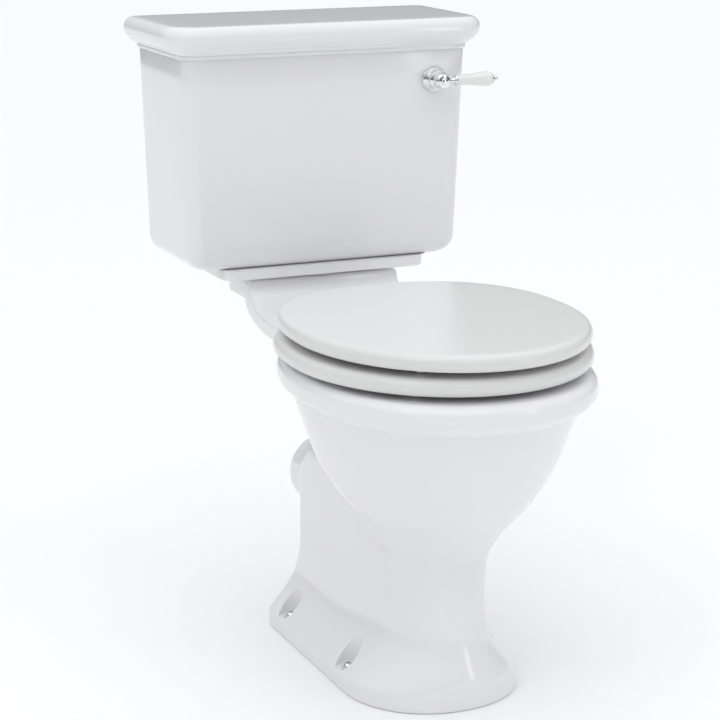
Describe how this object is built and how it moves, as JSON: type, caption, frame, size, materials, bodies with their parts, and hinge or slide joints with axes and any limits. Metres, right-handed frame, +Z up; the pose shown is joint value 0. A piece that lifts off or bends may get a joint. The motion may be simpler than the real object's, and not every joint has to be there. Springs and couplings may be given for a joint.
{
  "type": "close coupled toilet",
  "caption": "Traditional close coupled toilet: pan with rolled rim and spread foot, tapered cistern, hinged seat and lid, side flush lever.",
  "frame": {"origin": "on the floor, on the centre plane, in the middle of the foot's rear bearing strip", "axes": "+Z up, -Y to the front of the toilet, +Y to the wall, +X to the side of the flush lever"},
  "size_m": [0.4631, 0.7505, 0.8075],
  "materials": {
    "glaze": "white gloss glaze",
    "seat_enamel": "white satin enamel on moulded wood",
    "chrome": "polished chrome plate",
    "grip_porcelain": "white glazed porcelain",
    "brass": "plain turned brass",
    "steel": "zinc plated steel",
    "sponge_rubber": "pale grey sponge rubber",
    "black_rubber": "black rubber",
    "bumper_rubber": "translucent white buffer rubber",
    "white_plastic": "moulded white plastic",
    "valve_plastic": "moulded blue plastic"
  },
  "bodies": {
    "root": {"pan_bowl": "glaze", "pan_pedestal": "glaze", "cistern_body": "glaze", "lever_rose": "chrome", "hinge_bar": "chrome", "floor_screw_rear_left": "chrome", "floor_screw_rear_right": "chrome", "floor_screw_front_left": "chrome", "floor_screw_front_right": "chrome", "floor_washer_rear_left": "chrome", "floor_washer_rear_right": "chrome", "floor_washer_front_left": "chrome", "floor_washer_front_right": "chrome", "hinge_pillar_left": "chrome", "hinge_pillar_right": "chrome", "lever_bush": "brass", "lever_backnut": "brass", "coupling_bolt_left": "brass", "coupling_bolt_right": "brass", "wing_nut_left": "brass", "wing_nut_right": "brass", "pillar_nut_left": "steel", "pillar_nut_right": "steel", "close_coupling_washer": "sponge_rubber", "bolt_seal_left": "black_rubber", "bolt_seal_right": "black_rubber", "shelf_washer_left": "black_rubber", "shelf_washer_right": "black_rubber", "siphon_body": "white_plastic", "siphon_backnut": "white_plastic", "inlet_riser": "white_plastic", "inlet_backnut": "white_plastic", "valve_head": "valve_plastic"},
    "seat_ring": {"seat_ring": "seat_enamel", "ring_hinge_left": "chrome", "ring_hinge_right": "chrome", "ring_bumper_rear_left": "bumper_rubber", "ring_bumper_rear_right": "bumper_rubber", "ring_bumper_front_left": "bumper_rubber", "ring_bumper_front_right": "bumper_rubber"},
    "seat_lid": {"seat_lid": "seat_enamel", "lid_hinge_left": "chrome", "lid_hinge_right": "chrome", "lid_bumper_left": "bumper_rubber", "lid_bumper_right": "bumper_rubber"},
    "cistern_lid": {"cistern_lid": "glaze"},
    "flush_lever": {"lever_boss_and_spindle": "chrome", "lever_neck": "chrome", "lever_grip": "grip_porcelain", "lever_cap": "chrome", "lever_crank": "brass"},
    "siphon_rod": {"siphon_rod": "steel", "siphon_rod_collar": "steel"},
    "float_arm": {"float_arm": "brass", "float": "white_plastic"},
    "valve_piston": {"valve_piston": "chrome"}
  },
  "joints": [
    {"name": "seat_ring_hinge", "type": "hinge", "parent": "root", "child": "seat_ring", "pos_m": [0, -0.058, 0.452], "axis": [-1, 0, 0], "range_deg": [0, 97]},
    {"name": "seat_lid_hinge", "type": "hinge", "parent": "seat_ring", "child": "seat_lid", "pos_m": [0, -0.058, 0.452], "axis": [1, 0, 0], "range_deg": [-97, 0]},
    {"name": "cistern_lid_lift", "type": "slide", "parent": "root", "child": "cistern_lid", "axis": [0, 0, 1], "range_m": [0, 0.12]},
    {"name": "flush_lever_turn", "type": "hinge", "parent": "root", "child": "flush_lever", "pos_m": [0.1527, 0.03, 0.7246], "axis": [0, 1, 0], "range_deg": [0, 25], "stiffness_Nm_per_rad": 0.6},
    {"name": "siphon_lift", "type": "slide", "parent": "root", "child": "siphon_rod", "axis": [0, 0, 1], "range_m": [0, 0.0416]},
    {"name": "float_arm_turn", "type": "hinge", "parent": "root", "child": "float_arm", "pos_m": [0.109, 0.2018, 0.7], "axis": [0, 1, 0], "range_deg": [0, 30]},
    {"name": "valve_piston_lift", "type": "slide", "parent": "root", "child": "valve_piston", "axis": [0, 0, 1], "range_m": [0, 0.0032]}
  ],
  "couplings": [
    {"joint": "siphon_lift", "follows": "flush_lever_turn", "m_per_rad": 0.095},
    {"joint": "valve_piston_lift", "follows": "float_arm_turn", "m_per_rad": 0.006}
  ]
}
